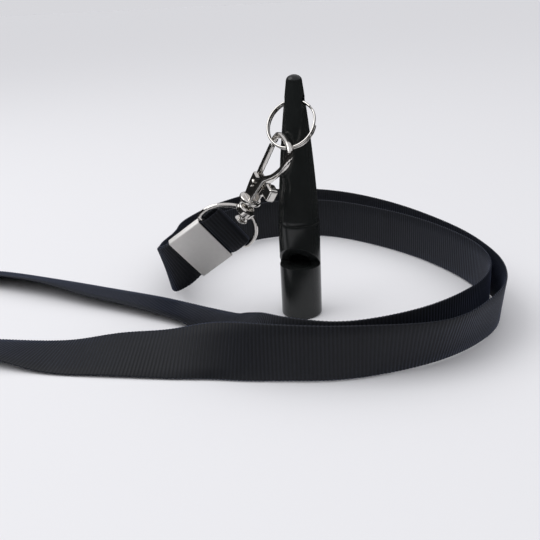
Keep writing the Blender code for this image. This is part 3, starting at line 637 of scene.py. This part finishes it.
# Split ring: two flat turns of one nickel-plated wire that lie almost together, with a step where the
# wire crosses over. It passes through the whistle's hole and the hook's loop.
RING_RADIUS = 7.4 * MM
RING_PITCH = 1.0 * MM
RING_BROAD = 0.78 * MM
RING_HIGH = 0.64 * MM
RING_TILT_DEG = 33.0
RING_YAW_DEG = -10.0
RING_SHIFT = 0.5 * MM
RING_SEAT = 0.15 * MM
RING_JOG_DEG = 48.0
RING_JOG_AT_DEG = 25.0
RING_ROWS = 160
WIRE_SIDES = 16
WIRE_SQUARENESS = 2.6
WIRE_CREASE_DEG = 60.0
HOLE = Vector((0, 0, 68.0 * MM))
ring_axes = (Matrix.Rotation(math.radians(RING_YAW_DEG), 3, "Z")
             @ Matrix.Rotation(math.radians(-RING_TILT_DEG), 3, "X"))
ring_centre = HOLE + ring_axes @ Vector((RING_SHIFT, 0, RING_SEAT - RING_RADIUS))
wire_section = []
for k in range(WIRE_SIDES):
    c, s = math.cos(math.tau * k / WIRE_SIDES), math.sin(math.tau * k / WIRE_SIDES)
    squared = (abs(c) ** WIRE_SQUARENESS + abs(s) ** WIRE_SQUARENESS) ** (-1 / WIRE_SQUARENESS)
    wire_section.append((RING_HIGH / 2 * c * squared, RING_BROAD / 2 * s * squared))
wire = []
for k in range(RING_ROWS):
    swept = (720.0 - RING_JOG_DEG) * k / (RING_ROWS - 1)
    t = min(max((swept - (360.0 - RING_JOG_DEG)) / RING_JOG_DEG, 0.0), 1.0)
    aside = RING_PITCH * (t * t * (3 - 2 * t) - 0.5)
    a = math.radians(RING_JOG_AT_DEG + RING_JOG_DEG / 2 + swept)
    for outward, sideways in wire_section:
        reach = RING_RADIUS + outward
        place = Vector((reach * math.cos(a), aside + sideways, reach * math.sin(a)))
        wire.append(ring_centre + ring_axes @ place)
ring_mesh = bpy.data.meshes.new("split_ring_wire")
ring_mesh.from_pydata(wire, [], tube_faces(RING_ROWS, WIRE_SIDES))
ring_mesh.materials.append(NICKEL)
ring = plain_mesh(link(bpy.data.objects.new("split_ring_wire", ring_mesh)))
ring.data.set_sharp_from_angle(angle=math.radians(WIRE_CREASE_DEG))
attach(ring, "ring")
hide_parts("split_ring")

# Whistle: two glossy black plastic mouldings, round about one axis. The barrel has the sound window
# and the fipple plug pressed into its mouth. The tail has the hole for the split ring, and its spigot
# is pressed into the bore, with a fine groove left at the seam.
BARREL_RADIUS = 6.5 * MM
BARREL_LENGTH = 31.2 * MM
BARREL_ROWS = 30
BORE_RADIUS = 3.5 * MM
MOUTH_FILLET = 0.8 * MM
FILLET_STEPS = 6
WINDOW_STEP = 17.2 * MM
WINDOW_RAMP_BASE = 0.6 * MM
TAIL_SEAM = 0.3 * MM
SEAM_CLOSED = 0.135 * MM
SEAM_ROUND = 0.07 * MM
SEAM_STEPS = 3
SPIGOT_LENGTH = 6.0 * MM
SPIGOT_CLEARANCE = 0.2 * MM
TAIL_LENGTH = 44.2 * MM
TAIL_ROOT_INSET = 0.15 * MM
TAIL_TIP_RADIUS = 2.35 * MM
TAIL_TIP_DROP = 1.5 * MM
TAIL_BULGE = 0.48 * MM
TAIL_ROWS = 40
TAIL_DOME = 1.8 * MM
DOME_STEPS = 12
RING_HOLE_RADIUS = 1.7 * MM
LATHE_STEPS = 144
EDGE_ROUND = 0.2 * MM
MOULDING_CREASE_DEG = 35.0
CUTTER_REACH = BARREL_RADIUS * 1.2
PLASTIC_DARK = (0.011, 0.0125, 0.0122, 1.0)
PLASTIC_LIGHT = (0.016, 0.018, 0.0177, 1.0)
PLASTIC = worn_material("black_moulding", (PLASTIC_DARK, PLASTIC_LIGHT), metallic=0.0, roughness=0.17,
                        spread=0.18, grain=260.0, depth=0.004 * MM, specular=0.4)


def quarter_turn(steps):
    return [math.pi / 2 * k / steps for k in range(steps + 1)]


def turned(name, profile, finish):
    """A solid turned round the upright axis from a closed line of radii and heights."""
    bm = bmesh.new()
    rings = []
    for radius, height in profile:
        steps = LATHE_STEPS if radius > 0 else 1
        angles = [math.tau * k / steps for k in range(steps)]
        rings.append([bm.verts.new((radius * math.cos(a), radius * math.sin(a), height))
                      for a in angles])
    for a, b in zip(rings, rings[1:] + rings[:1]):
        for k in range(LATHE_STEPS):
            face = [a[(k - 1) % len(a)], a[k % len(a)], b[k % len(b)], b[(k - 1) % len(b)]]
            face = list(dict.fromkeys(face))
            if len(face) > 2:
                bm.faces.new(face)
    bmesh.ops.recalc_face_normals(bm, faces=bm.faces)
    mesh = bpy.data.meshes.new(name)
    bm.to_mesh(mesh)
    bm.free()
    mesh.materials.append(finish)
    return link(bpy.data.objects.new(name, mesh))


def cut_away(obj, cutter):
    cut = obj.modifiers.new("cut", "BOOLEAN")
    cut.solver = "EXACT"
    cut.operation = "DIFFERENCE"
    cut.object = cutter
    rounded(obj, EDGE_ROUND, segments=3)
    plain_mesh(obj)
    bpy.data.objects.remove(cutter, do_unlink=True)
    obj.data.set_sharp_from_angle(angle=math.radians(MOULDING_CREASE_DEG))


seam_edge = [(SEAM_ROUND * (1 - math.cos(a)), SEAM_ROUND * (1 - math.sin(a)))
             for a in quarter_turn(SEAM_STEPS)[1:]]
barrel_top = BARREL_LENGTH + SEAM_CLOSED
wall_height = barrel_top - SEAM_ROUND - MOUTH_FILLET
barrel_line = [(BARREL_RADIUS - MOUTH_FILLET * (1 - math.sin(a)), MOUTH_FILLET * (1 - math.cos(a)))
               for a in quarter_turn(FILLET_STEPS)]
barrel_line += [(BARREL_RADIUS, MOUTH_FILLET + wall_height * k / BARREL_ROWS)
                for k in range(1, BARREL_ROWS + 1)]
barrel_line += [(BARREL_RADIUS - inset, barrel_top - drop) for inset, drop in seam_edge]
barrel_line += [(BORE_RADIUS, barrel_top), (BORE_RADIUS, 0)]
barrel = turned("whistle_barrel_moulded", barrel_line, PLASTIC)
notch_side = [(0, WINDOW_STEP), (-CUTTER_REACH, WINDOW_STEP),
              (-CUTTER_REACH, WINDOW_STEP + WINDOW_RAMP_BASE + CUTTER_REACH),
              (0, WINDOW_STEP + WINDOW_RAMP_BASE)]
notch_points = [(x, y, z) for x in (-CUTTER_REACH, CUTTER_REACH) for y, z in notch_side]
notch_faces = [(0, 1, 2, 3), (7, 6, 5, 4), (0, 4, 5, 1), (1, 5, 6, 2), (2, 6, 7, 3), (3, 7, 4, 0)]
notch_mesh = bpy.data.meshes.new("window_cutter")
notch_mesh.from_pydata(notch_points, [], notch_faces)
cut_away(barrel, link(bpy.data.objects.new("window_cutter", notch_mesh)))
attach(barrel, "whistle")
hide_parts("whistle_barrel")

tail_base = BARREL_LENGTH + TAIL_SEAM
tail_end = tail_base + TAIL_LENGTH
tail_foot = tail_base - SEAM_CLOSED
tail_root = BARREL_RADIUS - TAIL_ROOT_INSET
taper = TAIL_LENGTH - TAIL_TIP_DROP
spigot_radius = BORE_RADIUS - SPIGOT_CLEARANCE
tail_line = [(0, tail_base - SPIGOT_LENGTH), (spigot_radius, tail_base - SPIGOT_LENGTH),
             (spigot_radius, tail_foot)]
tail_line += [(tail_root - inset, tail_foot + drop) for inset, drop in reversed(seam_edge)]
tail_line.append((tail_root, tail_foot + SEAM_ROUND))
for k in range(1, TAIL_ROWS + 1):
    t = k / TAIL_ROWS * (TAIL_LENGTH - TAIL_DOME) / taper
    tail_line.append((tail_root + (TAIL_TIP_RADIUS - tail_root) * t + TAIL_BULGE * 4 * t * (1 - t),
                      tail_base + taper * t))
dome_radius = tail_line[-1][0]
tail_line += [(dome_radius * math.cos(a), tail_end - TAIL_DOME * (1 - math.sin(a)))
              for a in quarter_turn(DOME_STEPS)[1:-1]]
tail = turned("whistle_tail_moulded", tail_line + [(0, tail_end)], PLASTIC)
drill = turned("ring_hole_cutter", [(0, -CUTTER_REACH), (RING_HOLE_RADIUS, -CUTTER_REACH),
                                    (RING_HOLE_RADIUS, CUTTER_REACH), (0, CUTTER_REACH)], PLASTIC)
drill.data.transform(Matrix.Translation(HOLE) @ Matrix.Rotation(math.pi / 2, 4, "Y"))
cut_away(tail, drill)
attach(tail, "whistle")
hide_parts("whistle_tail")
refinish("fipple_plug", PLASTIC)
